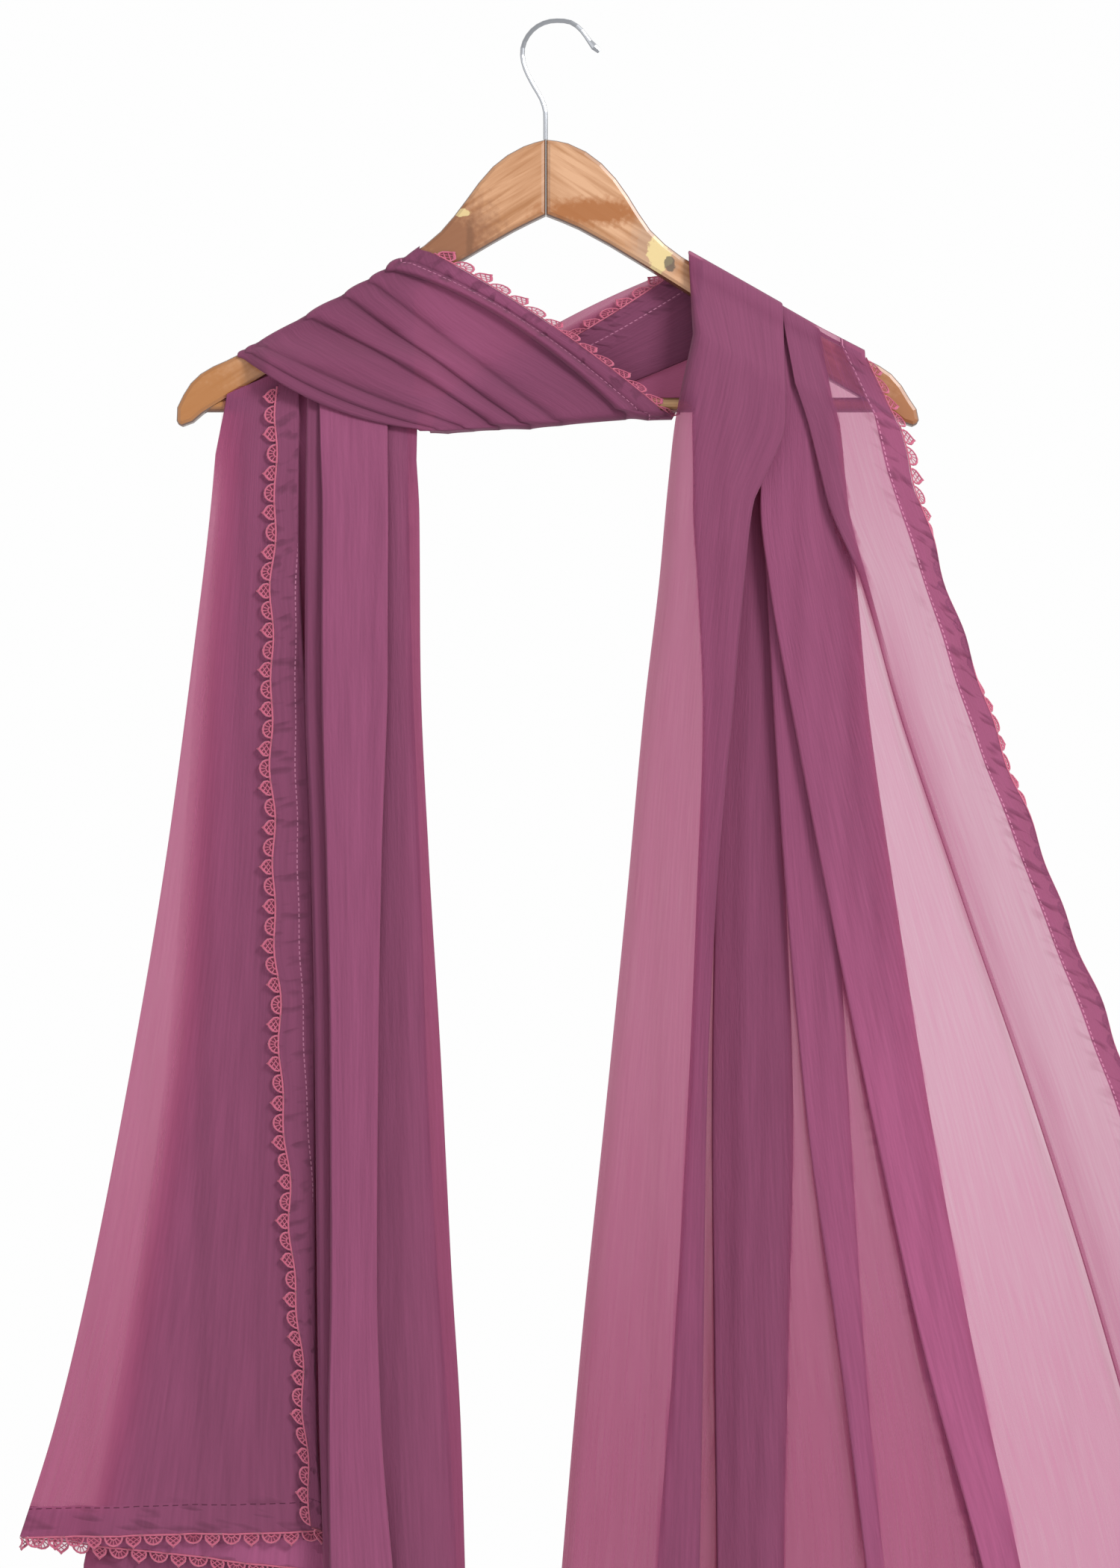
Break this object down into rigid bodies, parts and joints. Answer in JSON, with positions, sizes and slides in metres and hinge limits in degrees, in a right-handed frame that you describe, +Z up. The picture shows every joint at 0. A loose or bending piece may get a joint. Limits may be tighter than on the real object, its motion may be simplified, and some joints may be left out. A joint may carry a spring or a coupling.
{
  "type": "dupatta stole on wooden hanger",
  "caption": "Sheer chiffon dupatta with a scalloped lace edge, wound round a wooden hanger: it hangs on both sides, crosses the front to the trouser bar and climbs behind one arm.",
  "frame": {"origin": "The point inside the hook's crown that rests on a rail.", "axes": "+Z up, +X to the viewer's right, -Y towards the viewer; the hanger lies in the XZ plane."},
  "size_m": [0.8132, 0.0491, 1.2963],
  "materials": {
    "varnished wood": "clear varnish over pale hardwood, a little worn",
    "plated wire": "bright plated steel wire",
    "chiffon": "sheer crinkled chiffon, mauve pink, deeper where it lies in layers",
    "lace": "corded lace in a lighter salmon pink"
  },
  "bodies": {
    "root": {"hanger_left_half": "varnished wood", "hanger_right_half": "varnished wood", "hanger_bar": "varnished wood", "hanger_hook": "plated wire", "left_fall": "chiffon", "left_wrap": "chiffon", "front_drape": "chiffon", "back_drape": "chiffon", "right_fall": "chiffon", "left_front_lace": "lace", "left_far_lace": "lace", "left_end_lace": "lace", "front_lace": "lace", "back_upper_lace": "lace", "back_lower_lace": "lace", "right_front_lace": "lace", "right_far_lace": "lace", "right_end_lace": "lace"}
  },
  "joints": []
}
